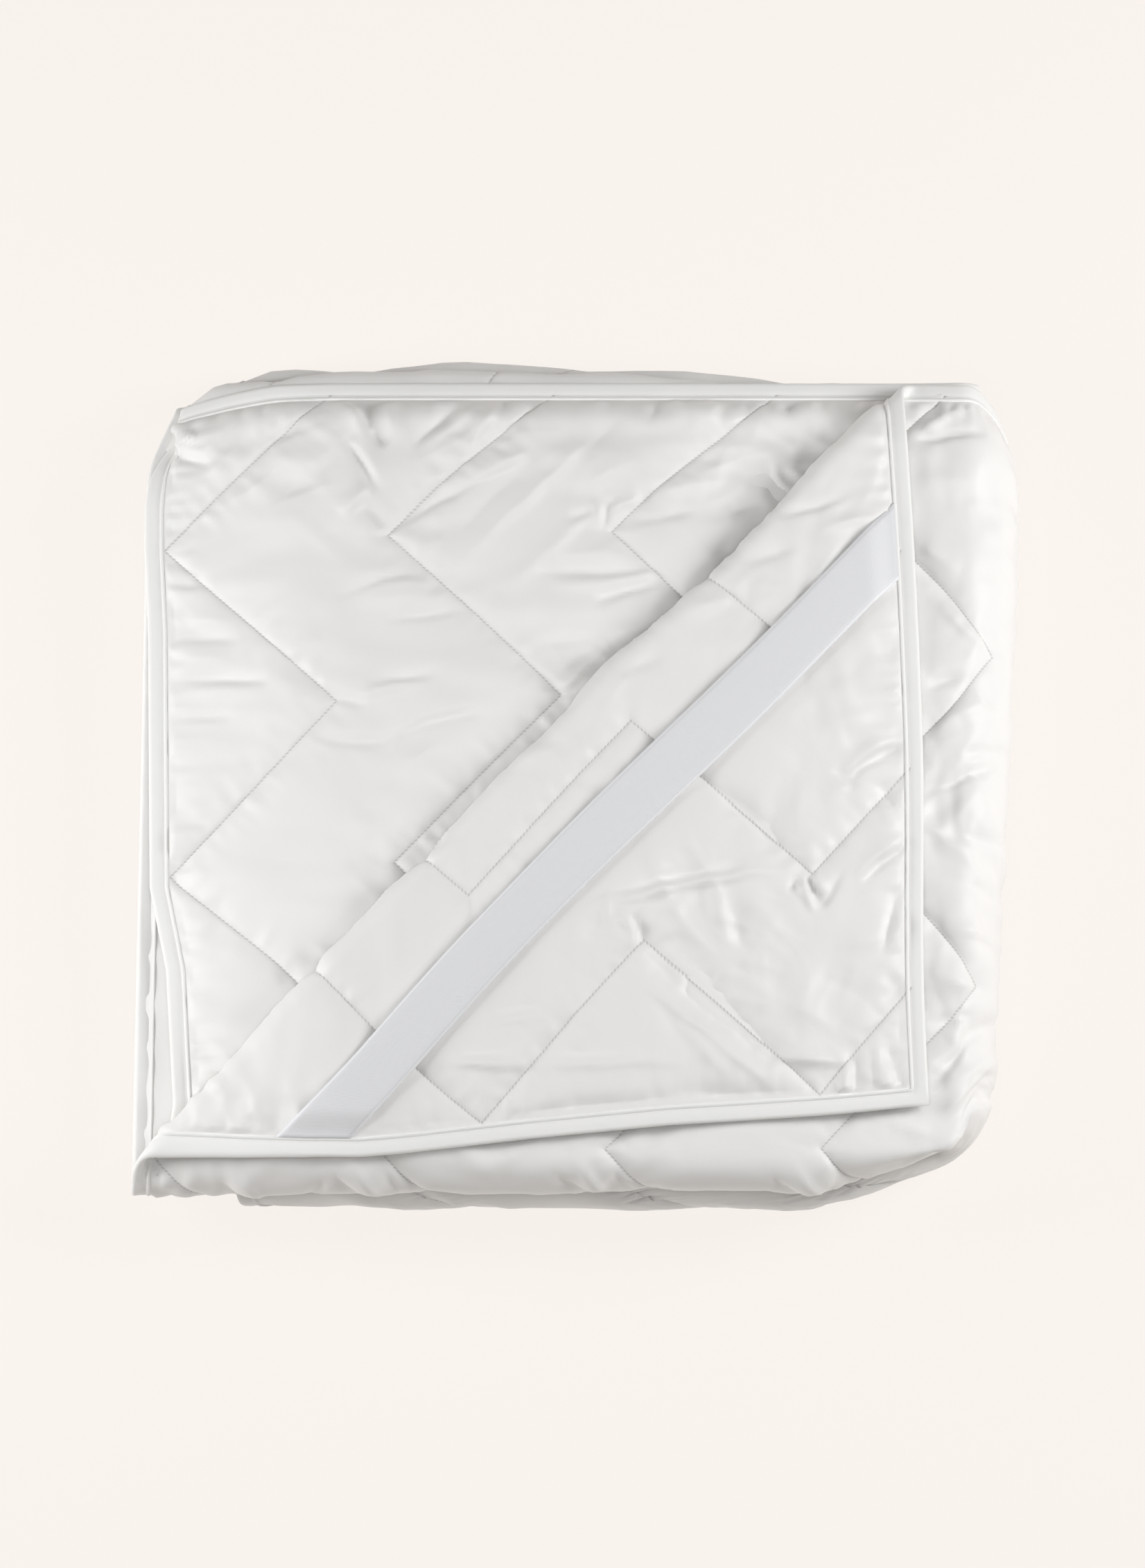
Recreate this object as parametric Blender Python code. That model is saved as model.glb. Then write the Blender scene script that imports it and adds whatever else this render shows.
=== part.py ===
"""A quilted mattress pad folded into a square packet, with one corner turned back.

The pad is folded in half end to end, in half again, and then in half lengthwise, so that
the packet has eight plies with the long fold on the right. The free corner of the top ply
is turned over and shows the underside with its elastic strap.

Every piece is modelled flat first, in the pad's own places: u across its width from the
left binding, v along its length from the top short edge, w out of the sleeping side. The
same fold then carries each piece into the packet. Metres, +Z up, the packet on Z = 0.
"""

import math

import bmesh
import bpy
from mathutils import Vector

# The flat pad
PAD_WIDTH = 0.900
PAD_LENGTH = 1.857
BINDING_WIDTH = 0.0107
SEWN_GAP = 0.0003
RIM_GAP = 0.0009
BODY_EDGE = BINDING_WIDTH + RIM_GAP

# Chevron quilting: seams rise and fall by RISE cells, and lie REPEAT cells apart
CELL_U = (PAD_WIDTH - 2 * BODY_EDGE) / 28
CELL_V = 0.03133
FIRST_TURN = 0.065
RISE = 3
REPEAT = 4

# Half of the pad's thickness, at the seams and between them
SEAM_HALF = 0.0015
NEAR_SEAM_HALF = 0.0034
PUFF_HALF = 0.0042
HIDDEN_HALF = 0.0032
BINDING_HALF = 0.0015

# The packet: distance between plies, and where the plies turn and end
PITCH = 0.0105
FRONT_TURN = 0.219
BACK_TURN = 0.2245
TOP_PLY_EDGE = 0.2225
SIDE_TURN = 0.2114
SIDE_SQUASH = 0.8
MIDDLE = 3.5 * PITCH + HIDDEN_HALF
LOWER_SPREAD = 0.008

# The turned corner: where its crease leaves the left edge and the top edge of the flat pad
CREASE_ON_SIDE = 0.460
CREASE_ON_TOP = 0.432
CREASE_RADIUS = PITCH / 2

# The elastic strap across the corner: where its two edges meet each binding
STRAP_ON_SIDE = (0.327, 0.366)
STRAP_ON_TOP = (0.304, 0.3455)
STRAP_HALF = 0.0006
STRAP_PIECES = 14
STRAP_RAMP = 0.030
STRAP_CROWDING = 0.06

# How the packet settles: the left side sinks, the back edge rounds off, the front right
# corner draws in, and the top ply's edge is pulled back where it goes round the side
SINK = 0.020
SINK_ACROSS = (-0.130, -0.250)
SINK_HEIGHT = 0.035
BACK_ROUND = 0.18
BACK_ROUND_ALONG = (0.180, 0.240)
CORNER_DRAW, CORNER_FROM, CORNER_WIDTH = 0.030, 0.130, 0.100
CORNER_ALONG = (-0.150, -0.235)
LEAN = 0.016
LEAN_ACROSS, LEAN_ALONG = (0.050, 0.240), (0.160, -0.220)
BACK_DRAW = 0.010
BACK_DRAW_ACROSS, BACK_DRAW_ALONG = (0.190, 0.240), (0.170, 0.238)
TOP_HOLDS = (0.070, 0.084)
TOP_DRAW_LESS, TOP_LEAN_LESS = 0.80, 0.35
CORNER_TUCK = 0.016
TUCK_ACROSS, TUCK_ALONG = (-0.190, -0.250), (0.170, 0.238)
PULL_BACK = 0.024
SPREAD_ALONG = (0.100, 0.230)
GATHER = 0.013
GATHER_REACH = 0.080
GATHER_ALONG, GATHER_SINK = 0.7, 0.2

# The middle of the packet's outline, which becomes the origin
CENTRE_X, CENTRE_Y = -0.0030, 0.0015

# How many cells each stretch of the grid has
FINE_COLUMNS = 13
SIDE_COLUMNS = 6
LOWER_COLUMNS = 5
TIGHT_ROWS = 4
ROLL_ROWS = 8
HIDDEN_ROWS = 5
CREASE_CUTS = 5


def smooth(start, end, at):
    """0 before start and 1 after end, with a soft change between."""
    t = min(1.0, max(0.0, (at - start) / (end - start)))
    return t * t * (3 - 2 * t)


def between(table, at):
    """The other columns of a table, read between its rows at this value of the first."""
    if at <= table[0][0]:
        return table[0][1:]
    for low, high in zip(table, table[1:]):
        if at <= high[0]:
            t = (at - low[0]) / (high[0] - low[0])
            return tuple(a + (b - a) * t for a, b in zip(low[1:], high[1:]))
    return table[-1][1:]


# Each run along the pad: its length, then its kind and where it lies. The straight runs
# give y where they start, their direction, their height over the packet's middle in
# pitches and which way the sleeping side faces. The turns give the same for their centre,
# their radius in pitches, their first angle and their sweep.
OUTER_TURN = math.pi * 1.5 * PITCH
INNER_TURN = math.pi * 0.5 * PITCH
RUNS = [
    (TOP_PLY_EDGE + FRONT_TURN, "ply", TOP_PLY_EDGE, -1, 3.5, 1),
    (OUTER_TURN, "turn", -FRONT_TURN, 2.0, 1.5, math.pi / 2, math.pi, 1),
    (FRONT_TURN + BACK_TURN, "ply", -FRONT_TURN, 1, 0.5, -1),
    (INNER_TURN, "turn", BACK_TURN, 1.0, 0.5, -math.pi / 2, math.pi, 1),
    (FRONT_TURN + BACK_TURN, "ply", BACK_TURN, -1, 1.5, 1),
    (INNER_TURN, "turn", -FRONT_TURN, 2.0, 0.5, 1.5 * math.pi, -math.pi, -1),
]
STARTS = [sum(run[0] for run in RUNS[:i]) for i in range(len(RUNS) + 1)]
RUNS.append((PAD_LENGTH - STARTS[-1], "ply", -FRONT_TURN, 1, 2.5, -1))

# Where the two long edges lie, for places along the pad: v, the left edge of the upper
# plies, the left edge of the lower plies
EDGES = [
    (0.0, -0.2480, -0.160),
    (STARTS[1], -0.2490, -0.160),
    (STARTS[1] + OUTER_TURN / 2, -0.2500, -0.190),
    (STARTS[2], -0.2500, -0.195),
    (STARTS[3], -0.2435, -0.205),
    (STARTS[4], -0.2435, -0.195),
    (STARTS[5], -0.249, -0.185),
    (STARTS[6], -0.231, -0.180),
    (STARTS[6] + 0.033, -0.2268, -0.179),
    (STARTS[6] + 0.107, -0.2312, -0.177),
    (STARTS[6] + 0.152, -0.2406, -0.176),
    (STARTS[6] + 0.298, -0.2425, -0.174),
    (STARTS[6] + 0.349, -0.2450, -0.172),
    (PAD_LENGTH, -0.2450, -0.170),
]


def end_fold(v):
    """Where v lies after the two end to end folds: y, height, and the sleeping side's
    direction in y and in height."""
    i = max(k for k in range(len(RUNS)) if k == 0 or v >= STARTS[k])
    run, along = RUNS[i], v - STARTS[i]
    if run[1] == "ply":
        _, _, y, way, level, faces = run
        return y + way * along, level * PITCH, 0.0, float(faces)
    length, _, y, level, radius, first, sweep, faces = run
    angle = first + sweep * along / length
    cos, sin = math.cos(angle), math.sin(angle)
    radius *= PITCH
    return y + radius * cos, level * PITCH + radius * sin, faces * cos, faces * sin


def side_lengths(v, height):
    """How u is shared out at this v: where the side turn starts and ends, and the left
    edges of the upper and lower plies."""
    upper, lower = between(EDGES, v)
    start = SIDE_TURN - upper
    a, b = SIDE_SQUASH * height, height
    turn = math.pi * (3 * (a + b) - math.sqrt((3 * a + b) * (a + 3 * b))) / 2
    end = start + (PAD_WIDTH - start) * turn / (turn + SIDE_TURN - lower)
    return start, end, upper, lower


CREASE_LONG = math.hypot(CREASE_ON_SIDE, CREASE_ON_TOP)
CREASE_NU, CREASE_NV = CREASE_ON_SIDE / CREASE_LONG, CREASE_ON_TOP / CREASE_LONG
CREASE_FAR = CREASE_ON_SIDE * CREASE_ON_TOP / CREASE_LONG


def past_crease(u, v):
    """How far a place of the flat pad lies past the turned corner's crease."""
    return CREASE_FAR - (u * CREASE_NU + v * CREASE_NV)


def turn_corner(u, v, w):
    """Turns the top ply's corner over the crease, in the flat pad's places."""
    beyond = past_crease(u, v)
    if beyond <= 0 or v > STARTS[2]:
        return u, v, w
    wrapped = math.pi * CREASE_RADIUS
    angle = min(beyond, wrapped) / CREASE_RADIUS
    radius = CREASE_RADIUS - w
    out = radius * math.sin(angle) - max(0.0, beyond - wrapped)
    u += CREASE_NU * (beyond - out)
    v += CREASE_NV * (beyond - out)
    return u, v, CREASE_RADIUS - radius * math.cos(angle)


def gather(u, v):
    """How far the strap under the second ply's free corner draws a point in."""
    far = math.hypot(u, PAD_LENGTH - v)
    return GATHER * (1 - smooth(0.0, GATHER_REACH, far))


def settle(x, y, z):
    """The packet's settled form."""
    z -= SINK * smooth(*SINK_ACROSS, x) * min(1.0, z / SINK_HEIGHT)
    z *= 1 - BACK_ROUND * smooth(*BACK_ROUND_ALONG, y)
    right, top = max(0.0, (x - CORNER_FROM) / CORNER_WIDTH), smooth(*TOP_HOLDS, z)
    y += CORNER_DRAW * right ** 1.5 * smooth(*CORNER_ALONG, y) * (1 - TOP_DRAW_LESS * top)
    x -= LEAN * smooth(*LEAN_ACROSS, x) * smooth(*LEAN_ALONG, y) * (1 - TOP_LEAN_LESS * top)
    x -= BACK_DRAW * smooth(*BACK_DRAW_ACROSS, x) * smooth(*BACK_DRAW_ALONG, y)
    tuck = CORNER_TUCK * smooth(*TUCK_ACROSS, x) * smooth(*TUCK_ALONG, y)
    return x + tuck - CENTRE_X, y - 0.5 * tuck - CENTRE_Y, z


def fold(u, v, w):
    """Carries a point of the flat pad into the packet."""
    drawn = gather(u, v)
    u, v, w = turn_corner(u, v, w)
    y, height, face_y, face_up = end_fold(v)
    start, end, upper, lower = side_lengths(v, height)
    up = face_up * w
    if u <= start:
        x, z, side = upper + u, height + up, 0.0
    elif u < end:
        angle = math.pi * (u - start) / (end - start)
        sin, cos = math.sin(angle), math.cos(angle)
        across, over = sin, SIDE_SQUASH * cos
        long = math.hypot(across, over)
        x = SIDE_TURN + SIDE_SQUASH * height * sin + up * across / long
        z = height * cos + up * over / long
        side = (1 - cos) / 2
    else:
        x = SIDE_TURN - (u - end) * (SIDE_TURN - lower) / (PAD_WIDTH - end)
        z, side = -height - up, 1.0
    y += face_y * w
    y += LOWER_SPREAD * side * smooth(*SPREAD_ALONG, y)
    outer = smooth(2.8 * PITCH, 3.5 * PITCH, height)
    y -= PULL_BACK * outer * smooth(0.0, 0.5, side) * smooth(*SPREAD_ALONG, y)
    x += drawn * GATHER_ALONG
    y -= drawn * GATHER_ALONG
    return settle(x, y, MIDDLE + z - drawn * GATHER_SINK)


def rows():
    """The places along the pad where its grid has a row."""
    last_turn = round((PAD_LENGTH - BODY_EDGE - FIRST_TURN) / CELL_V)
    turns = [FIRST_TURN + CELL_V * j for j in range(-1, last_turn)]
    found = [BODY_EDGE]
    found += [v for v in turns if v < STARTS[1] - CELL_V / 3]
    counts = (ROLL_ROWS, HIDDEN_ROWS, TIGHT_ROWS, HIDDEN_ROWS, TIGHT_ROWS)
    for start, end, count in zip(STARTS[1:], STARTS[2:], counts):
        found += [start + (end - start) * k / count for k in range(count)]
    found.append(STARTS[6])
    found += [v for v in turns if v > STARTS[6] + CELL_V / 3]
    found.append(PAD_LENGTH - BODY_EDGE)
    return found


def columns(v):
    """The places across the pad where its grid has a column, at this v."""
    start, end, _, _ = side_lengths(v, end_fold(v)[1])
    last = PAD_WIDTH - BODY_EDGE
    found = [BODY_EDGE + CELL_U * i for i in range(FINE_COLUMNS + 1)]
    found += [start + (end - start) * k / SIDE_COLUMNS for k in range(SIDE_COLUMNS + 1)]
    found += [end + (last - end) * k / LOWER_COLUMNS for k in range(1, LOWER_COLUMNS + 1)]
    return found


def chevron(v):
    """How many cells the seams have moved across at this v, and which way they run."""
    step = (v - FIRST_TURN) / CELL_V % (2 * RISE)
    return (step, 1) if step < RISE else (2 * RISE - step, -1)


def half_thickness(i, j, v):
    """Half of the pad's thickness at a point of the grid."""
    if v < STARTS[1] - CELL_V / 3 or v > STARTS[6] + CELL_V / 3:
        at_rim = j in (0, len(ROWS) - 1) or i == 0
        if at_rim:
            return SEAM_HALF
        if i <= FINE_COLUMNS:
            off = abs((i - chevron(v)[0] + REPEAT / 2) % REPEAT - REPEAT / 2)
            return SEAM_HALF if off < 0.3 else NEAR_SEAM_HALF if off < 1.3 else PUFF_HALF
    if i in (0, FINE_COLUMNS + SIDE_COLUMNS + LOWER_COLUMNS + 1):
        return SEAM_HALF
    return HIDDEN_HALF


def cut_along_crease(bm):
    """Adds edges along the turned corner's crease, where the cloth rolls over."""
    normal = Vector((CREASE_NU, CREASE_NV, 0))
    for k in range(CREASE_CUTS):
        back = math.pi * CREASE_RADIUS * k / (CREASE_CUTS - 1)
        point = normal * (CREASE_FAR - back)
        near = [f for f in bm.faces if min(p.co.y for p in f.verts) < STARTS[2] - SEWN_GAP]
        parts = near + list({e for f in near for e in f.edges})
        parts += list({p for f in near for p in f.verts})
        bmesh.ops.bisect_plane(bm, geom=parts, dist=1e-6, plane_co=point, plane_no=normal)


def triangulate_on_seams(bm):
    """Splits each cell along the way that the seams run there."""
    for face in list(bm.faces):
        if len(face.verts) != 4:
            continue
        middle = face.calc_center_median()
        way = chevron(middle.y)[1]
        ordered = sorted(face.verts, key=lambda p: p.co.x + way * p.co.y)
        ends = {ordered[0], ordered[-1]}
        beside = any(set(edge.verts) == ends for edge in face.edges)
        if abs(face.normal.z) > 0.5 and not beside:
            bmesh.utils.face_split(face, ordered[0], ordered[-1])
    bmesh.ops.triangulate(bm, faces=[f for f in bm.faces if len(f.verts) > 3])


def finish(name, bm, material):
    """Folds a flat piece into the packet and makes it an object. The flat places are a
    left-handed set, so the faces are turned round."""
    for point in bm.verts:
        point.co = fold(*point.co)
    bmesh.ops.reverse_faces(bm, faces=bm.faces)
    mesh = bpy.data.meshes.new(name)
    bm.to_mesh(mesh)
    bm.free()
    mesh.materials.append(material)
    mesh.shade_smooth()
    mesh.set_sharp_from_angle(angle=math.radians(50))
    thing = bpy.data.objects.new(name, mesh)
    PARTS.objects.link(thing)
    return thing


def slab(x_cells, y_cells):
    """A flat closed slab of unit cells, and which points are on its upper skin."""
    bm = bmesh.new()
    bmesh.ops.create_grid(bm, x_segments=x_cells, y_segments=y_cells, size=0.5)
    lower = list(bm.faces)
    made = bmesh.ops.extrude_face_region(bm, geom=lower, use_keep_orig=True)
    upper = {e for e in made["geom"] if isinstance(e, bmesh.types.BMVert)}
    for point in upper:
        point.co.z = 1.0
    bmesh.ops.recalc_face_normals(bm, faces=bm.faces)
    for point in bm.verts:
        point.co.x = round((point.co.x + 0.5) * x_cells)
        point.co.y = round((point.co.y + 0.5) * y_cells)
    return bm


def quilted_pad(material):
    """The quilted body, one slab folded with all its plies a little apart."""
    across = FINE_COLUMNS + SIDE_COLUMNS + LOWER_COLUMNS + 1
    bm = slab(across, len(ROWS) - 1)
    for point in bm.verts:
        i, j, top = round(point.co.x), round(point.co.y), point.co.z > 0.5
        v = ROWS[j]
        half = half_thickness(i, j, v)
        point.co = (columns(v)[i], v, half if top else -half)
    bm.normal_update()
    cut_along_crease(bm)
    triangulate_on_seams(bm)
    return finish("quilted_pad", bm, material)


def rim_stations():
    """Places round the pad's edge: the outer point and the inner point of each."""
    near, far_u, far_v = BINDING_WIDTH, PAD_WIDTH - BINDING_WIDTH, PAD_LENGTH - BINDING_WIDTH
    first, last = columns(BODY_EDGE)[1:-1], columns(PAD_LENGTH - BODY_EDGE)[1:-1]
    sides = ROWS[1:-1]
    found = [((0, 0), (near, near))]
    found += [((u, 0), (u, near)) for u in first]
    found += [((PAD_WIDTH, 0), (far_u, near))]
    found += [((PAD_WIDTH, v), (far_u, v)) for v in sides]
    found += [((PAD_WIDTH, PAD_LENGTH), (far_u, far_v))]
    found += [((u, PAD_LENGTH), (u, far_v)) for u in reversed(last)]
    found += [((0, PAD_LENGTH), (near, far_v))]
    found += [((0, v), (near, v)) for v in reversed(sides)]
    return found


def edge_binding(material):
    """The binding round the whole edge, one closed strip folded with the pad."""
    stations = rim_stations()
    bm = bmesh.new()
    bmesh.ops.create_circle(bm, segments=len(stations), radius=1.0)
    loop = list(bm.edges)
    bm.verts.ensure_lookup_table()
    corners = [(0, BINDING_HALF), (1, BINDING_HALF), (1, -BINDING_HALF), (0, -BINDING_HALF)]
    order = {point: k for k, point in enumerate(bm.verts)}
    loops = [(loop, order)]
    for _ in corners[1:]:
        made = bmesh.ops.extrude_edge_only(bm, edges=loops[-1][0])["geom"]
        points = [e for e in made if isinstance(e, bmesh.types.BMVert)]
        before = loops[-1][1]
        index = {}
        for point in points:
            old = next(e.other_vert(point) for e in point.link_edges
                       if e.other_vert(point) in before)
            index[point] = before[old]
        edges = [e for e in made if isinstance(e, bmesh.types.BMEdge)]
        edges = [e for e in edges if all(p in index for p in e.verts)]
        loops.append((edges, index))
    bmesh.ops.bridge_loops(bm, edges=loops[0][0] + loops[-1][0])
    for (_, index), (inner, w) in zip(loops, corners):
        for point, k in index.items():
            u, v = stations[k][inner]
            point.co = (u, v, w)
    bmesh.ops.recalc_face_normals(bm, faces=bm.faces)
    bm.normal_update()
    cut_along_crease(bm)
    bmesh.ops.triangulate(bm, faces=bm.faces)
    return finish("edge_binding", bm, material)


def corner_strap(material):
    """The elastic strap that crosses the turned corner, sewn in at both bindings."""
    bm = slab(STRAP_PIECES, 2)
    end = BODY_EDGE + SEWN_GAP
    long = math.dist((end, STRAP_ON_SIDE[0]), (STRAP_ON_TOP[0], end))
    for point in bm.verts:
        t, s = point.co.x / STRAP_PIECES, point.co.y / 2
        t -= STRAP_CROWDING * math.sin(2 * math.pi * t)
        from_side = Vector((end, STRAP_ON_SIDE[0] + (STRAP_ON_SIDE[1] - STRAP_ON_SIDE[0]) * s))
        from_top = Vector((STRAP_ON_TOP[0] + (STRAP_ON_TOP[1] - STRAP_ON_TOP[0]) * s, end))
        place = from_side.lerp(from_top, t)
        rise = smooth(0, STRAP_RAMP, min(t, 1 - t) * long)
        over = SEAM_HALF + (PUFF_HALF - SEAM_HALF) * rise + 2 * SEWN_GAP + STRAP_HALF
        w = -over + (STRAP_HALF if point.co.z > 0.5 else -STRAP_HALF)
        point.co = (place.x, place.y, w)
    bmesh.ops.recalc_face_normals(bm, faces=bm.faces)
    bmesh.ops.triangulate(bm, faces=bm.faces)
    return finish("corner_strap", bm, material)


def cloth(name, colour, roughness):
    """A plain cloth material."""
    material = bpy.data.materials.new(name)
    material.use_nodes = True
    shader = material.node_tree.nodes["Principled BSDF"]
    shader.inputs["Base Color"].default_value = (*colour, 1.0)
    shader.inputs["Roughness"].default_value = roughness
    shader.inputs["Metallic"].default_value = 0.0
    return material


for old in list(bpy.data.objects):
    bpy.data.objects.remove(old)
PARTS = bpy.data.collections.new("Folded mattress pad")
bpy.context.scene.collection.children.link(PARTS)
ROWS = rows()
quilted_pad(cloth("White cotton sateen", (0.86, 0.86, 0.85), 0.55))
edge_binding(cloth("White cotton binding", (0.90, 0.90, 0.89), 0.55))
corner_strap(cloth("Woven elastic", (0.70, 0.71, 0.75), 0.65))
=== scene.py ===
"""A white quilted mattress pad, folded into a packet with one corner turned back.

Each piece is modelled flat first, in the pad's own places: u across its width from the left
binding, v along its length from the top short edge, w out of the sleeping side. The fold
then carries it into the packet, and the cloth's creases are added there from listed tables.
"""

import math

import bmesh
import bpy
import numpy as np
from bpy.props import FloatProperty, FloatVectorProperty, PointerProperty
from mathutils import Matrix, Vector, noise


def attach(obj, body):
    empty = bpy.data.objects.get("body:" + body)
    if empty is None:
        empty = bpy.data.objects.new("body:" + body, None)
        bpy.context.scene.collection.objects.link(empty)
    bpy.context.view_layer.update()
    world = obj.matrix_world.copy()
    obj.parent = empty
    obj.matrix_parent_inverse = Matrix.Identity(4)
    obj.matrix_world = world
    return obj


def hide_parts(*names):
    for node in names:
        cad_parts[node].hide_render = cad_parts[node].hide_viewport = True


bl_info = {
    "name": "Folded mattress pad",
    "version": (1, 0, 0),
    "blender": (4, 5, 0),
    "location": "3D View > Sidebar > Mattress pad",
    "description": "Builds a quilted mattress pad folded into a packet",
    "category": "Mesh",
}

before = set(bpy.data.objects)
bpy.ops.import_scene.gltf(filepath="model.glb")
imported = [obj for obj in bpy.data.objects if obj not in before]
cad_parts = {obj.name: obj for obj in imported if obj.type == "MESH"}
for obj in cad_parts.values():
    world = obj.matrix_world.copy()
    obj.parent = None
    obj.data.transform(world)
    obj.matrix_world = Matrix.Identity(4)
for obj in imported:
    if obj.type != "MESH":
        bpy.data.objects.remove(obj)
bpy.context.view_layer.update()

# The flat pad
PAD_WIDTH = 0.900
PAD_LENGTH = 1.857
BINDING_WIDTH = 0.0107
BODY_EDGE = 0.0116
CELLS_ACROSS = 28
CELL_U = (PAD_WIDTH - 2 * BODY_EDGE) / CELLS_ACROSS
CELL_V = 0.03133
FIRST_TURN = 0.065
RISE = 3
REPEAT = 4

# The packet: distance between plies, and where the plies turn and end
PITCH = 0.0105
FRONT_TURN = 0.219
BACK_TURN = 0.2245
TOP_PLY_EDGE = 0.2225
SIDE_TURN = 0.2114
SIDE_SQUASH = 0.8
HIDDEN_HALF = 0.0032
MIDDLE = 3.5 * PITCH + HIDDEN_HALF
LOWER_SPREAD = 0.008

# The turned corner: where its crease leaves the left edge and the top edge of the flat pad
CREASE_ON_SIDE = 0.460
CREASE_ON_TOP = 0.432
CREASE_RADIUS = PITCH / 2

# The elastic strap across it: where its two edges meet each binding, its width, half of its
# thickness, and how far from its ends it rises
STRAP_ON_SIDE = (0.3255, 0.3675)
STRAP_ON_TOP = (0.3025, 0.347)
STRAP_WIDTH = 0.030
STRAP_HALF = 0.0006
STRAP_RAMP = 0.022

# How far its ends reach under the binding, how high it lies there and over the puffs, how far
# its edges curl, and its cells along and across
STRAP_INSET = 0.0008
STRAP_END_GAP, STRAP_CLEAR, STRAP_CURL = 0.0012, 0.0024, 0.0004
STRAP_PIECES, STRAP_CELLS = 150, 10

# How the packet settles, as in the solids
SINK = 0.020
SINK_ACROSS = (-0.130, -0.250)
SINK_HEIGHT = 0.035
BACK_ROUND = 0.18
BACK_ROUND_ALONG = (0.180, 0.240)
CORNER_DRAW, CORNER_FROM, CORNER_WIDTH = 0.030, 0.130, 0.100
CORNER_ALONG = (-0.150, -0.235)
LEAN = 0.016
LEAN_ACROSS, LEAN_ALONG = (0.050, 0.240), (0.160, -0.220)
BACK_DRAW = 0.010
BACK_DRAW_ACROSS, BACK_DRAW_ALONG = (0.190, 0.240), (0.170, 0.238)
TOP_HOLDS = (0.070, 0.084)
TOP_DRAW_LESS, TOP_LEAN_LESS = 0.80, 0.35
CORNER_TUCK = 0.016
TUCK_ACROSS, TUCK_ALONG = (-0.190, -0.250), (0.170, 0.238)
PULL_BACK = 0.024
SPREAD_ALONG = (0.100, 0.230)
GATHER = 0.013
GATHER_REACH = 0.080
GATHER_ALONG, GATHER_SINK = 0.7, 0.2
CENTRE_X, CENTRE_Y = -0.0030, 0.0015

# How finely the cloth is cut: cells to a quilting cell, cuts more where it shows, and the
# rows of a ply inside and of a tight turn
CELLS_TO_QUILT = 3
SHOWN_CUTS_UNDERSIDE = 4
SHOWN_CUTS_SLEEPING_SIDE = 3
HIDDEN_ROWS = 15
TIGHT_ROWS = 6

# The shares of the columns before the side turn and in it, on the plies inside, and how far
# round the front roll the columns still follow the quilting
FIRST_COLUMNS, TURN_COLUMNS = 0.50, 0.15
FOLLOWED_ROLL = 0.6

# The creases' heights are multiplied by this. Then how wide their two sides are, as shares of
# their width, how many millimetres they run on, and how they fall off to ends and sides
CREASE_HEIGHT = 2.7
STEEP_SIDE, GENTLE_SIDE = 0.65, 1.30
CREASE_RUN_ON = 3
END_FALL, SIDE_FALL = 0.8, 1.5

# How far the creases' lines wander: size and seed of the noise, and millimetres
WANDER, WANDER_FAR = (0.020, 1.7), 1.6

# On the front rolls the creases are lower and wander less
ROLL_HEIGHT, ROLL_WANDER = 0.6, 0.5

# Where the turned corner's creases start past the fold, and the rolls' before the turn
PAST_CREASE, BEFORE_ROLL = 0.008, 0.02

# The crumples everywhere: slant on the flat pad, size, how drawn out, seed and height. Then
# the level of their crests
CRUMPLES = [
    (0.35, 0.021, 2.6, 21.3, 0.0020), (-0.60, 0.016, 2.4, 33.7, 0.0014),
    (1.20, 0.012, 2.6, 41.9, 0.0008),
]
CRUMPLE_TOP = 0.35

# Where the pad is crumpled and where it isn't: size and seed of the areas, and the change
CRUMPLED_AREAS, CRUMPLED = (0.060, 12.5), (-0.25, 0.35)

# The broad waves of the cloth: size, seed, how drawn out and height. They end at the seams
WAVES = [(0.030, 5.3, 1.8, 0.0024), (0.013, 9.9, 2.5, 0.0008)]
WAVES_REACH = 0.006

# The puckers beside seams and bindings: size, seed and how drawn out. Then their reach, where
# they start beside a seam, and how much deeper they are beside a binding
SEAM_PUCKERS, RIM_PUCKERS = (0.0060, 3.1, 2.8), (0.0060, 7.7, 3.5)
SEAM_REACH, RIM_REACH, SEAM_START = 0.010, 0.012, 0.002
RIM_SHARE = 1.2

# Relief is left out this near the binding. Under the strap it is pressed flat by this share,
# to this distance from the strap's middle line
PLAIN_RIM = 0.001
PRESSED, PRESSED_REACH = 0.85, 0.023

# The second ply's back edge puffs up inside its binding, which hangs down behind it. Between
# the places UPPER_HALF across the pad the hanging, and the push below, come to their end
BACK_PUFF, BACK_PUFF_AT, BACK_PUFF_WIDTH = 0.0035, 0.014, 0.009
BACK_DROOP, DROOP = 0.0035, (0.016, 0.010)
UPPER_HALF = (0.500, 0.420)

# The second ply's cloth is pushed back along the packet: at its left edge, and more inside.
# Then where that sets in: from its short edge, along the packet and across it
PUSHED_BACK = (0.004, 0.006)
PUSHED_FROM_EDGE, PUSHED_ALONG = (0.012, 0.085), (-0.160, -0.060)
PUSHED_ACROSS = (-0.220, -0.030)

# Its free corner rolls under, fully at the second distance from the corner. Then, for places
# by their distance from the side edge, how far inward and how far down
ROLLED_CORNER = (0.075, 0.020)
ROLLED_EDGE = [
    (0.0, 0.002, 0.0050), (0.0107, -0.001, 0.0045), (0.0150, -0.009, 0.0015),
    (0.0200, -0.014, 0.0), (0.0300, -0.014, 0.0), (0.0550, -0.006, 0.0), (0.0800, 0.0, 0.0),
]

# All plies sink at the back left corner: where it is, by what share, and how far from it
CORNER_X, CORNER_Y, CORNER_SINK = -0.243, 0.236, 0.16
CORNER_REACH = (0.080, 0.010)

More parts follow.
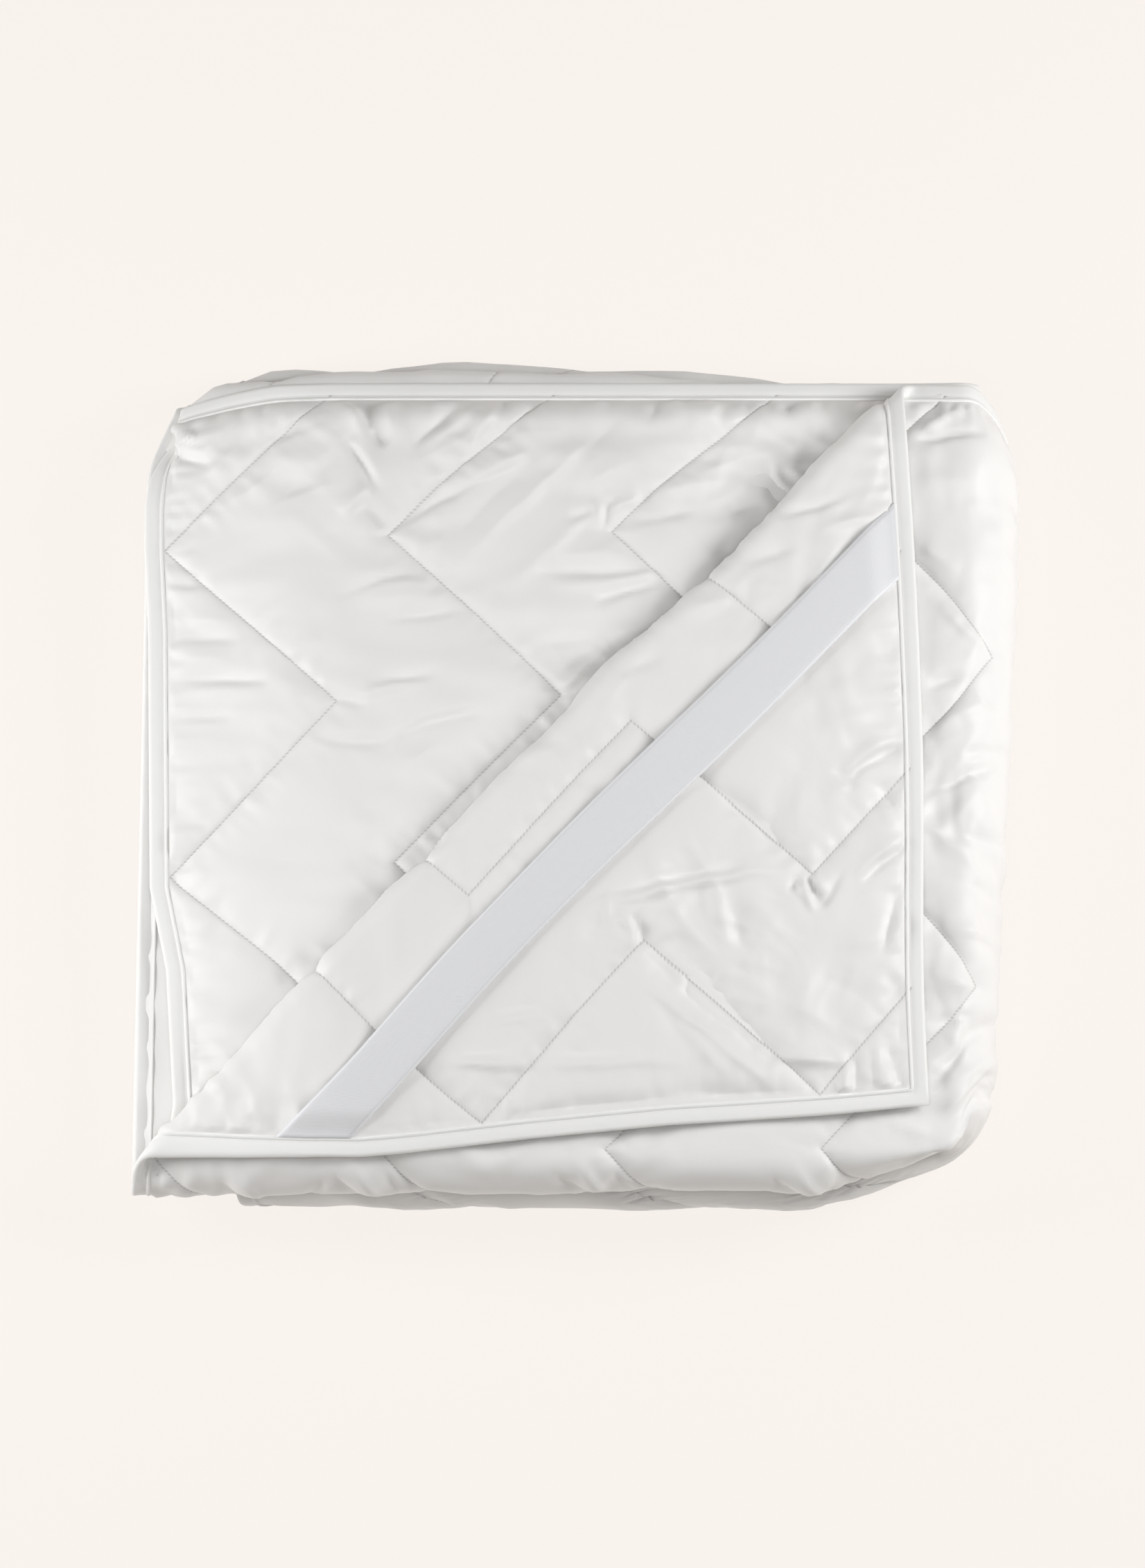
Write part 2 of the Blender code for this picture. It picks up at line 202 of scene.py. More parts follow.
# The back turns: how far their form reaches beside them, then, across the packet, how far they
# stand out behind, and how unevenly
BACK_TURN_REACH = 0.020
BACK_BULGE = [
    (-0.240, -0.0040), (-0.190, -0.0010), (-0.120, 0.0010), (-0.062, 0.0045), (-0.030, 0.0040),
    (0.020, 0.0000), (0.100, -0.0030), (0.180, -0.0080), (0.240, -0.0110),
]
BACK_UNEVEN = 0.0015
UNEVEN_SIZE, UNEVEN_SEED = (0.06, 0.03), 4.4

# The turned corner's left end lies further back and higher, more so towards the left
FLAP_LIFT = (0.007, 0.004)
LIFT_ACROSS = (-0.080, -0.240)

# Its right side lies further out than in the plain fold, and more so at the back. Then where
# that starts and ends across the packet, where it grows along it, and how far from the roll
FLAP_SPREAD = (0.0035, 0.0040)
SPREAD_FROM_LEFT, SPREAD_TO_RIGHT = (-0.020, 0.120), (0.235, 0.195)
SPREAD_BACK, SPREAD_BEFORE_TURN = (-0.150, 0.020), 0.050

# Its front edge sags near the pad's side edge and past the crease. Then, across the packet,
# how far forward
SAG_FROM_EDGE, SAG_PAST_CREASE = (0.120, 0.020), 0.020
FLAP_SAG = [
    (-0.237, 0.0), (-0.185, -0.0055), (-0.150, -0.0080), (-0.120, -0.0085), (-0.080, -0.0060),
    (-0.027, -0.0030), (0.050, 0.0),
]


def smooth(start, end, at):
    """0 before start and 1 after end, with a soft change between."""
    t = min(1.0, max(0.0, (at - start) / (end - start)))
    return t * t * (3 - 2 * t)


def soft_step(start, end, at):
    """The same for a whole array."""
    t = np.clip((at - start) / (end - start), 0.0, 1.0)
    return t * t * (3 - 2 * t)


def between(table, at):
    """The other columns of a table, read between its rows at this value of the first."""
    if at <= table[0][0]:
        return table[0][1:]
    for low, high in zip(table, table[1:]):
        if at <= high[0]:
            t = (at - low[0]) / (high[0] - low[0])
            return tuple(a + (b - a) * t for a, b in zip(low[1:], high[1:]))
    return table[-1][1:]


# Each run along the pad, as in the solids: its length, its kind and where it lies
OUTER_TURN = math.pi * 1.5 * PITCH
INNER_TURN = math.pi * 0.5 * PITCH
RUNS = [
    (TOP_PLY_EDGE + FRONT_TURN, "ply", TOP_PLY_EDGE, -1, 3.5, 1),
    (OUTER_TURN, "turn", -FRONT_TURN, 2.0, 1.5, math.pi / 2, math.pi, 1),
    (FRONT_TURN + BACK_TURN, "ply", -FRONT_TURN, 1, 0.5, -1),
    (INNER_TURN, "turn", BACK_TURN, 1.0, 0.5, -math.pi / 2, math.pi, 1),
    (FRONT_TURN + BACK_TURN, "ply", BACK_TURN, -1, 1.5, 1),
    (INNER_TURN, "turn", -FRONT_TURN, 2.0, 0.5, 1.5 * math.pi, -math.pi, -1),
]
STARTS = [sum(run[0] for run in RUNS[:i]) for i in range(len(RUNS) + 1)]
RUNS.append((PAD_LENGTH - STARTS[-1], "ply", -FRONT_TURN, 1, 2.5, -1))
EDGES = [
    (0.0, -0.2480, -0.160),
    (STARTS[1], -0.2490, -0.160),
    (STARTS[1] + OUTER_TURN / 2, -0.2500, -0.190),
    (STARTS[2], -0.2500, -0.195),
    (STARTS[3], -0.2435, -0.205),
    (STARTS[4], -0.2435, -0.195),
    (STARTS[5], -0.249, -0.185),
    (STARTS[6], -0.231, -0.180),
    (STARTS[6] + 0.033, -0.2268, -0.179),
    (STARTS[6] + 0.107, -0.2312, -0.177),
    (STARTS[6] + 0.152, -0.2406, -0.176),
    (STARTS[6] + 0.298, -0.2425, -0.174),
    (STARTS[6] + 0.349, -0.2450, -0.172),
    (PAD_LENGTH, -0.2450, -0.170),
]


def end_fold(v):
    """Where v lies after the two end to end folds: y, height, and the sleeping side's
    direction in y and in height."""
    i = max(k for k in range(len(RUNS)) if k == 0 or v >= STARTS[k])
    run, along = RUNS[i], v - STARTS[i]
    if run[1] == "ply":
        _, _, y, way, level, faces = run
        return y + way * along, level * PITCH, 0.0, float(faces)
    length, _, y, level, radius, first, sweep, faces = run
    angle = first + sweep * along / length
    cos, sin = math.cos(angle), math.sin(angle)
    radius *= PITCH
    return y + radius * cos, level * PITCH + radius * sin, faces * cos, faces * sin


def side_lengths(v, height):
    """How u is shared out at this v: where the side turn starts and ends, and the left
    edges of the upper and lower plies."""
    upper, lower = between(EDGES, v)
    start = SIDE_TURN - upper
    a, b = SIDE_SQUASH * height, height
    turn = math.pi * (3 * (a + b) - math.sqrt((3 * a + b) * (a + 3 * b))) / 2
    end = start + (PAD_WIDTH - start) * turn / (turn + SIDE_TURN - lower)
    return start, end, upper, lower


CREASE_LONG = math.hypot(CREASE_ON_SIDE, CREASE_ON_TOP)
CREASE_NU, CREASE_NV = CREASE_ON_SIDE / CREASE_LONG, CREASE_ON_TOP / CREASE_LONG
CREASE_FAR = CREASE_ON_SIDE * CREASE_ON_TOP / CREASE_LONG


def past_crease(u, v):
    """How far a place of the flat pad lies past the turned corner's crease."""
    return CREASE_FAR - (u * CREASE_NU + v * CREASE_NV)


def turn_corner(u, v, w):
    """Turns the top ply's corner over the crease, in the flat pad's places."""
    beyond = past_crease(u, v)
    if beyond <= 0 or v > STARTS[2]:
        return u, v, w
    wrapped = math.pi * CREASE_RADIUS
    angle = min(beyond, wrapped) / CREASE_RADIUS
    radius = CREASE_RADIUS - w
    out = radius * math.sin(angle) - max(0.0, beyond - wrapped)
    u += CREASE_NU * (beyond - out)
    v += CREASE_NV * (beyond - out)
    return u, v, CREASE_RADIUS - radius * math.cos(angle)


def settle(x, y, z):
    """The packet's settled form."""
    z -= SINK * smooth(*SINK_ACROSS, x) * min(1.0, z / SINK_HEIGHT)
    z *= 1 - BACK_ROUND * smooth(*BACK_ROUND_ALONG, y)
    right, top = max(0.0, (x - CORNER_FROM) / CORNER_WIDTH), smooth(*TOP_HOLDS, z)
    y += CORNER_DRAW * right ** 1.5 * smooth(*CORNER_ALONG, y) * (1 - TOP_DRAW_LESS * top)
    x -= LEAN * smooth(*LEAN_ACROSS, x) * smooth(*LEAN_ALONG, y) * (1 - TOP_LEAN_LESS * top)
    x -= BACK_DRAW * smooth(*BACK_DRAW_ACROSS, x) * smooth(*BACK_DRAW_ALONG, y)
    tuck = CORNER_TUCK * smooth(*TUCK_ACROSS, x) * smooth(*TUCK_ALONG, y)
    return x + tuck - CENTRE_X, y - 0.5 * tuck - CENTRE_Y, z


def soft_shape(u, v, x, y, z):
    """What the cloth does beyond the plain fold: all plies sink at the back left, the second
    ply's short edge hangs down behind its puff, its cloth is pushed back and its free corner
    rolls under, the back turns stand out unevenly, and the turned corner lies higher at its
    left end, sags along its front edge and lies further out on the right."""
    corner = smooth(*CORNER_REACH, math.hypot(x - CORNER_X, y - CORNER_Y))
    z *= 1 - CORNER_SINK * corner
    if v > STARTS[6]:
        from_edge, upper = PAD_LENGTH - v, smooth(*UPPER_HALF, u)
        z -= BACK_DROOP * smooth(*DROOP, from_edge) * upper
        pushed = smooth(*PUSHED_FROM_EDGE, from_edge) * smooth(*PUSHED_ALONG, y) * upper
        y += (PUSHED_BACK[0] + PUSHED_BACK[1] * smooth(*PUSHED_ACROSS, x)) * pushed
        rolled = smooth(*ROLLED_CORNER, math.hypot(u, from_edge))
        inward, down = between(ROLLED_EDGE, u)
        x += rolled * inward
        z -= rolled * down
    elif STARTS[3] - BACK_TURN_REACH < v < STARTS[4] + BACK_TURN_REACH:
        turn = smooth(BACK_TURN_REACH, 0.0, abs(v - (STARTS[3] + STARTS[4]) / 2))
        place = Vector((x / UNEVEN_SIZE[0], z / UNEVEN_SIZE[1], UNEVEN_SEED))
        y += turn * (between(BACK_BULGE, x)[0] + BACK_UNEVEN * noise.noise(place))
    elif v < STARTS[2]:
        beyond = past_crease(u, v)
        left = smooth(*LIFT_ACROSS, x) * smooth(0.0, math.pi * CREASE_RADIUS, beyond)
        y += FLAP_LIFT[0] * left
        z += FLAP_LIFT[1] * left
        front = smooth(*SAG_FROM_EDGE, u) * smooth(0.0, SAG_PAST_CREASE, beyond)
        y += between(FLAP_SAG, x)[0] * front
        right = smooth(*SPREAD_FROM_LEFT, x) * smooth(*SPREAD_TO_RIGHT, x)
        right *= smooth(STARTS[1], STARTS[1] - SPREAD_BEFORE_TURN, v)
        x += (FLAP_SPREAD[0] + FLAP_SPREAD[1] * smooth(*SPREAD_BACK, y)) * right
    return x, y, z


def fold(u, v, w):
    """Carries a point of the flat pad into the packet."""
    flat_u, flat_v = u, v
    drawn = GATHER * (1 - smooth(0.0, GATHER_REACH, math.hypot(u, PAD_LENGTH - v)))
    u, v, w = turn_corner(u, v, w)
    y, height, face_y, face_up = end_fold(v)
    start, end, upper, lower = side_lengths(v, height)
    up = face_up * w
    if u <= start:
        x, z, side = upper + u, height + up, 0.0
    elif u < end:
        angle = math.pi * (u - start) / (end - start)
        sin, cos = math.sin(angle), math.cos(angle)
        across, over = sin, SIDE_SQUASH * cos
        long = math.hypot(across, over)
        x = SIDE_TURN + SIDE_SQUASH * height * sin + up * across / long
        z = height * cos + up * over / long
        side = (1 - cos) / 2
    else:
        x = SIDE_TURN - (u - end) * (SIDE_TURN - lower) / (PAD_WIDTH - end)
        z, side = -height - up, 1.0
    y += face_y * w
    y += LOWER_SPREAD * side * smooth(*SPREAD_ALONG, y)
    outer = smooth(2.8 * PITCH, 3.5 * PITCH, height)
    y -= PULL_BACK * outer * smooth(0.0, 0.5, side) * smooth(*SPREAD_ALONG, y)
    x += drawn * GATHER_ALONG
    y -= drawn * GATHER_ALONG
    placed = settle(x, y, MIDDLE + z - drawn * GATHER_SINK)
    return soft_shape(flat_u, flat_v, *placed)


# Quilting

def zigzag(v):
    """How far this v lies along one there and back of the seams, in cells. They run to the
    right up to RISE, and then to the left."""
    return (v - FIRST_TURN) / CELL_V % (2 * RISE)


def from_seam(u, v):
    """How far each place lies from the nearest quilting seam, in metres."""
    step = zigzag(v)
    moved = np.where(step < RISE, step, 2 * RISE - step)
    off = np.abs(((u - BODY_EDGE) / CELL_U - moved + REPEAT / 2) % REPEAT - REPEAT / 2)
    return off * CELL_V / math.sqrt(2)


def from_rim(u, v):
    """How far each place lies inside the binding's inner edge."""
    across = np.minimum(u, PAD_WIDTH - u)
    along = np.minimum(v, PAD_LENGTH - v)
    return np.minimum(across, along) - BINDING_WIDTH


def flat_noise(u, v, size, seed, stretch=1.0):
    """Smooth noise over the flat pad, one value for each place. Stretch draws it out
    across the pad."""
    return np.array([noise.noise(Vector((a / size / stretch, b / size, seed)))
                     for a, b in zip(u, v)])


def half_thickness(u, v, sizes):
    """Half of the pad's thickness, full between the seams and thin along them."""
    seam, rim = from_seam(u, v), from_rim(u, v)
    puff = 1 - np.exp(-seam / sizes.seam_reach)
    edge = 1 - np.exp(-np.maximum(rim, 0.0) / sizes.seam_reach)
    full = sizes.puff - sizes.seam
    return sizes.seam + full * puff * edge


def rows():
    """The places along the pad where its grid has a row."""
    step = CELL_V / CELLS_TO_QUILT
    aligned = [FIRST_TURN + step * k for k in range(-4, round(PAD_LENGTH / step))]
    found = [BINDING_WIDTH / 2, BODY_EDGE]
    found += [v for v in aligned if BODY_EDGE + step / 2 < v < STARTS[2] - step / 3]
    counts = (HIDDEN_ROWS, TIGHT_ROWS, HIDDEN_ROWS, TIGHT_ROWS)
    for start, end, count in zip(STARTS[2:], STARTS[3:], counts):
        found += [start + (end - start) * k / count for k in range(count)]
    found.append(STARTS[6])
    last = PAD_LENGTH - BODY_EDGE
    found += [v for v in aligned if STARTS[6] + step / 3 < v < last - step / 2]
    return found + [last, PAD_LENGTH - BINDING_WIDTH / 2]


def columns(v, count):
    """The places across the pad where its grid has a column, at this v. They follow the
    quilting where it shows, and the side turn where the plies turn tightly."""
    last = PAD_WIDTH - BODY_EDGE
    even = [BODY_EDGE + (last - BODY_EDGE) * k / count for k in range(count + 1)]
    start, end, _, _ = side_lengths(v, end_fold(v)[1])
    first, turn = round(count * FIRST_COLUMNS), round(count * TURN_COLUMNS)
    rest = count - first - turn
    tight = [BODY_EDGE + (start - BODY_EDGE) * k / first for k in range(first)]
    tight += [start + (end - start) * k / turn for k in range(turn)]
    tight += [end + (last - end) * k / rest for k in range(rest + 1)]
    roll = STARTS[1] + FOLLOWED_ROLL * OUTER_TURN
    inner = smooth(roll, STARTS[2], v) * (1 - smooth(STARTS[5], STARTS[6], v))
    places = [a + (b - a) * inner for a, b in zip(even, tight)]
    return [BINDING_WIDTH / 2] + places + [PAD_WIDTH - BINDING_WIDTH / 2]


# The turned corner covers the top ply up to a line on the right, which leans out, and one in
# front, which leans back. The rest are margins, so that the fine cutting ends out of sight
COVER_LEANS_OUT, COVER_LEANS_BACK, COVER_MARGIN = SIDE_TURN - 0.18, 0.036, 0.016
SIDE_MARGIN, ROLL_MARGINS, CREASE_MARGIN = 0.03, (0.01, 0.004), 0.014
SECOND_TURN_MARGIN, SECOND_CREASE_MARGIN, SECOND_ACROSS = 0.003, 0.024, SIDE_TURN + 0.23


def shows(u, v, sleeping_side):
    """Whether this part of the flat pad can be seen on the packet."""
    if sleeping_side:
        if v > STARTS[2] - ROLL_MARGINS[1]:
            return False
        right = CREASE_ON_TOP + COVER_LEANS_OUT * v / CREASE_ON_SIDE - COVER_MARGIN
        below = CREASE_ON_SIDE - COVER_LEANS_BACK * u / CREASE_ON_TOP - COVER_MARGIN
        end = side_lengths(v, end_fold(v)[1])[1]
        outside = u < end + SIDE_MARGIN or v > STARTS[1] - ROLL_MARGINS[0]
        return outside and (u > right or v > below)
    if v < STARTS[2]:
        return past_crease(u, v) > -CREASE_MARGIN
    if v > STARTS[6] - SECOND_TURN_MARGIN:
        y = v - STARTS[6] - FRONT_TURN
        covered = past_crease(u, TOP_PLY_EDGE - y) < -SECOND_CREASE_MARGIN
        return not covered and u < SECOND_ACROSS
    return False


def slab(x_cells, y_cells):
    """A flat closed slab of unit cells, its lower skin at 0 and its upper skin at 1."""
    bm = bmesh.new()
    bmesh.ops.create_grid(bm, x_segments=x_cells, y_segments=y_cells, size=0.5)
    made = bmesh.ops.extrude_face_region(bm, geom=list(bm.faces), use_keep_orig=True)
    for point in made["geom"]:
        if isinstance(point, bmesh.types.BMVert):
            point.co.z = 1.0
    bmesh.ops.recalc_face_normals(bm, faces=bm.faces)
    for point in bm.verts:
        point.co.x = round((point.co.x + 0.5) * x_cells)
        point.co.y = round((point.co.y + 0.5) * y_cells)
    return bm


def cut_finer(bm, cuts, sleeping_side):
    """Cuts the cells of one skin finer where they show."""
    level = 1.0 if sleeping_side else 0.0
    chosen = []
    for face in bm.faces:
        if all(abs(p.co.z - level) < 1e-6 for p in face.verts):
            middle = face.calc_center_median()
            if shows(middle.x, middle.y, sleeping_side):
                chosen.append(face)
    edges = list({edge for face in chosen for edge in face.edges})
    bmesh.ops.subdivide_edges(bm, edges=edges, cuts=cuts, use_grid_fill=True)


def split_on_seams(bm):
    """Splits each four-sided face along the way that the seams run there."""
    for face in list(bm.faces):
        if len(face.verts) != 4:
            continue
        middle = face.calc_center_median()
        way = 1 if zigzag(middle.y) < RISE else -1
        ordered = sorted(face.verts, key=lambda p: p.co.x + way * p.co.y)
        ends = {ordered[0], ordered[-1]}
        beside = any(set(edge.verts) == ends for edge in face.edges)
        if abs(face.normal.z) > 0.5 and not beside:
            bmesh.utils.face_split(face, ordered[0], ordered[-1])
    bmesh.ops.triangulate(bm, faces=[f for f in bm.faces if len(f.verts) > 3])


def lay(bm, flat_w):
    """Folds every point of a flat piece into the packet, each at its own height over the
    flat pad's middle, and turns the faces outwards. Gives the flat places as an array."""
    flat = np.array([(p.co.x, p.co.y) for p in bm.verts])
    for point, (u, v), w in zip(bm.verts, flat, flat_w):
        point.co = fold(u, v, w)
    bmesh.ops.reverse_faces(bm, faces=bm.faces)
    bm.normal_update()
    return flat


def push_out(bm, amounts):
    """Moves each point along the cloth's own outward direction."""
    for point, amount in zip(bm.verts, amounts):
        point.co += point.normal * amount


def add_object(name, data):
    """Puts a new object with this mesh, light or camera into the scene."""
    thing = bpy.data.objects.new(name, data)
    bpy.context.scene.collection.objects.link(thing)
    return thing


def make_piece(name, bm, flat, material):
    """Makes the finished mesh an object that rides on the packet, nowhere under the floor,
    with the flat pad's places, in metres, as its UV map."""
    for point in bm.verts:
        point.co.z = max(point.co.z, 0.0)
    mesh = bpy.data.meshes.new(name)
    bm.to_mesh(mesh)
    bm.free()
    mesh.materials.append(material)
    mesh.shade_smooth()
    layer = mesh.uv_layers.new(name="flat_places")
    ends = np.zeros(len(mesh.loops), dtype=np.int32)
    mesh.loops.foreach_get("vertex_index", ends)
    layer.data.foreach_set("uv", flat[ends].astype(np.float32).ravel())
    thing = add_object(name, mesh)
    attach(thing, "root")
    return thing


# Creases, listed in millimetres on the packet seen from above: where each starts and
# ends, how far it bows aside, how wide it is and how high. A crease below 0 is a trough. The
# steeper side of each is on the right of the way from its start to its end.
#   x1, y1, x2, y2, bow, width, height
SECOND_PLY_CREASES = [
    (68, 100, 172, 194, 0, 18, -2.3), (72, 130, 150, 206, 0, 26, -1.3),
    (-125, 215, -111, 187, 0, 3, -1.2), (-130, 212, -117, 185, 0, 4, 1.0),
    (-108, 208, -102, 189, 0, 4, 0.9), (-113, 191, -108, 186, 0, 3, -1.0),
    (-130, 188, -115, 160, 2, 2.6, -1.2), (-125, 187, -110, 163, 2, 4, 1.1),
    (-129, 146, -117, 159, 0, 5, 1.6), (-118, 150, -108, 136, 0, 2.6, -1.0),
    (-105, 136, -30, 173, 3, 4, -1.3), (-65, 159, -27, 181, 0, 5, 1.6),
    (-63, 119, 16, 195, 0, 4.5, 1.1), (-72, 129, -23, 178, 0, 6, -0.7),
    (-37, 102, 9, 146, 0, 5, 1.1), (-19, 112, 44, 114, -2, 3, -1.2),
    (-12, 120, 27, 122, 0, 5, 0.9), (-10, 104, 23, 106, 0, 5, 0.8), (12, 96, 38, 103, 0, 3, -0.9),
    (-2, 142, 9, 146, 0, 2.5, -0.8), (9, 150, 13, 140, 0, 2.5, 0.9),
    (16, 139, 21, 152, 0, 2.5, -0.9), (19, 146, 33, 154, 0, 2.6, 1.0),
    (-132, 98, -88, 110, 3, 3, -1.1), (-119, 95, -77, 99, 0, 6, 0.7),
    (-103, 83, -65, 90, 1, 3, -1.1), (-21, 69, 16, 75, 0, 5, -0.8),
    (-123, 38, -86, 48, 1, 3.5, 1.2), (-113, 46, -78, 54, 0, 3, -1.0),
    (-130, 39, -119, 36, 0, 2.5, -0.7), (-143, 16, -103, 15, -2, 3.5, -1.1),
    (-103, 17, -53, 30, 2, 3.5, -0.9), (-101, 22, -57, 36, 0, 4, 0.7),
    (-224, 78, -191, 76, 0, 4, -1.0), (-216, 89, -192, 86, 0, 5, 0.8),
    (-224, 68, -196, 64, 0, 5, 0.7), (-224, 54, -174, 50, 1, 3, -1.4),
    (-220, 48, -178, 45, 0, 5, 0.7), (-227, 110, -211, 109, 0, 3, -0.7),
    (-222, 34, -194, 30, 0, 3, -0.7), (-224, -31, -199, -27, 0, 4, -0.7),
    (-89, 186, -65, 208, 0, 4, -1.7), (-80, 187, -59, 204, 0, 4, 1.1),
    (-174, 191, -134, 202, 0, 6, -1.1), (-59, 185, -45, 206, 0, 3.5, 1.2),
    (-231, 194, -199, 199, 0, 3, -0.8), (-230, 190, -203, 186, 0, 3, 0.5),
    (-229, 185, -206, 178, 0, 3, -1.2), (-228, 200, -205, 206, 0, 3.5, 0.5),
    (-224, 209, -210, 190, 0, 3.5, -0.8), (-169, 156, -145, 163, 0, 8, -0.8),
    (-178, 66, -145, 73, 0, 9, 0.7), (13, 93, 50, 106, 2, 3.5, -1.1),
    (21, 105, 52, 113, 0, 5, 0.8), (23, 69, 62, 78, 0, 4, -1.3), (21, 75, 49, 85, 0, 5, 0.9),
    (-5, 45, 19, 67, 0, 2.6, 1.5), (-9, 52, 13, 70, 0, 4, -0.7),
    (110, 176, 120, 158, -2, 2.6, 1.0), (106, 174, 116, 158, -2, 3, -0.8),
    (118, 172, 127, 168, 0, 2.6, 1.0), (89, 147, 103, 153, 0, 6, -1.3),
    (31, 141, 66, 146, 0, 3, -0.7), (40, 158, 83, 165, 0, 6, 0.8), (5, 162, 33, 176, 0, 8, 0.8),
    (41, 199, 47, 214, 0, 5, -0.8), (5, 184, 25, 200, 0, 6, -0.7), (64, 192, 83, 210, 0, 7, 0.8),
]
TURNED_CORNER_CREASES = [
    (112, 139, 148, 147, 0, 3, -1.1), (138, 131, 171, 139, 0, 3, 1.0),
    (97, 112, 120, 121, 0, 4, -0.9), (62, 82, 84, 90, 0, 4, 0.9), (24, 48, 47, 57, 0, 4, -0.8),
    (-36, -4, -14, 4, 0, 4, 0.8), (-90, -51, -66, -43, 0, 4, -0.8),
    (-150, -104, -126, -95, 0, 4, -0.9), (7, -79, 91, -63, 1, 3, -1.4),
    (21, -82, 111, -65, 1, 3.5, 1.5), (3, -82, 16, -78, 0, 3, -1.0),
    (32, -92, 36, -104, 0, 3, -1.2), (25, -91, 29, -106, 2, 3, 1.0), (16, -78, 16, -95, 0, 3, 0.9),
    (41, -112, 111, -172, 0, 10, -2.2), (37, -127, 109, -189, 0, 4, 1.0),
    (75, -12, 121, -54, 0, 9, -1.6), (-74, -174, -28, -175, 0, 3.5, 1.2),
    (-74, -170, -36, -168, 0, 3, -1.1), (-19, -168, 29, -171, 0, 3.5, -1.1),
    (-19, -175, 58, -173, 0, 5, 0.9), (-56, -145, -19, -144, 0, 4, -1.1),
    (-46, -150, -19, -148, 0, 4, 0.8), (58, -153, 82, -178, 0, 5, 0.9),
    (-41, -207, 55, -193, 0, 5, -1.3), (55, -191, 124, -195, 0, 6, -1.4),
    (155, -12, 184, 7, 3, 3, -1.7), (152, -8, 181, 12, 2, 5, 1.1), (144, -8, 153, -17, 0, 3, -1.1),
    (170, -18, 178, -30, 0, 3, -1.1), (180, -20, 186, -34, 0, 3, 1.1),
    (162, -71, 186, -48, 1, 3, -1.6), (158, -67, 183, -44, 0, 4, 1.1),
    (138, -86, 147, -66, 0, 3, -0.9), (172, -110, 179, -78, 1, 3, -1.3),
    (176, -112, 183, -85, 0, 3, 1.0), (146, -106, 182, -102, 0, 8, 0.9),
    (123, -68, 130, -86, 0, 2.6, 1.3), (128, -70, 135, -84, 0, 2.6, -1.2),
    (120, -76, 126, -67, 0, 2.5, -1.1), (131, -66, 137, -78, 0, 2.6, 1.0),
    (73, -76, 84, -101, 0, 6, 0.9), (95, -119, 101, -106, 0, 5, 0.9),
    (54, -115, 60, -131, 0, 5, 0.8), (87, -89, 97, -115, 0, 6, -0.8),
    (113, -172, 150, -173, 0, 4, 1.4), (154, -171, 154, -189, 0, 2.6, -1.3),
    (166, -162, 169, -188, 0, 3.5, 1.1), (174, -166, 178, -187, 0, 3, -1.1),
    (149, -174, 148, -193, 0, 3, 1.0), (109, -134, 142, -153, 0, 9, 0.9),
    (137, -125, 164, -138, 0, 8, -0.7), (43, -136, 65, -168, 0, 9, -0.7),
    (-11, -134, 14, -159, 0, 9, 0.7), (148, 43, 156, 11, 0, 8, 0.9),
    (115, -9, 103, -53, 0, 8, -0.7), (169, 91, 180, 96, 0, 3, -1.0),
    (126, -11, 121, -41, 0, 6, 0.7), (166, 68, 179, 48, 0, 7, -0.7),
    (140, -23, 156, -13, 0, 6, 0.7),
]
RIGHT_STRIP_CREASES = [
    (191, 186, 227, 190, 0, 3, -1.6), (190, 188, 220, 206, 0, 3.5, 1.2),
    (197, -16, 239, 5, -3, 3, -1.2), (196, -43, 239, -45, 0, 3, -0.9),
    (208, -97, 236, -98, 0, 4, 0.9), (202, -148, 220, -144, 0, 3, -1.0),
    (217, 5, 242, 9, 0, 3, -0.9), (199, -183, 236, -138, 0, 4, -1.3),
    (206, -202, 233, -163, 0, 4, 1.2), (214, -208, 233, -180, 0, 4, -1.2),
    (192, 126, 211, 110, 0, 6, 0.9), (199, 43, 214, 48, 0, 4, -0.9), (204, 88, 232, 63, 0, 4, 1.1),
    (201, 18, 226, 34, 0, 5, 1.0), (192, 164, 235, 158, 0, 9, 0.8),
    (201, -65, 235, -74, 0, 8, -0.7), (198, -122, 220, -128, 0, 6, 0.8),
]
# The front rolls, in millimetres on the flat pad: across it from the left edge, and along it
# from the turn's start. The same columns follow.
FRONT_ROLL_CREASES = [
    (112, 12, 128, 27, 0, 3.0, -1.6), (122, 6, 139, 26, 0, 4.0, 1.4),
    (140, 10, 152, 28, 0, 3.5, -1.3), (236, 12, 254, 27, 0, 3.0, -1.6),
    (247, 6, 266, 26, 0, 4.0, 1.4), (268, 12, 280, 28, 0, 3.5, -1.2),
    (360, 14, 379, 27, 0, 3.0, -1.6), (372, 8, 392, 26, 0, 4.0, 1.4),
    (52, 16, 60, 30, 0, 3.5, -2.4), (64, 12, 72, 28, 0, 4.0, 1.2),
    (108, 14, 100, 30, 0, 3.0, -1.5), (20, 16, 24, 34, 0, 5.0, -1.2),
    (170, 10, 230, 14, 2, 5.0, -0.9), (290, 12, 350, 10, -2, 6.0, 0.9),
]


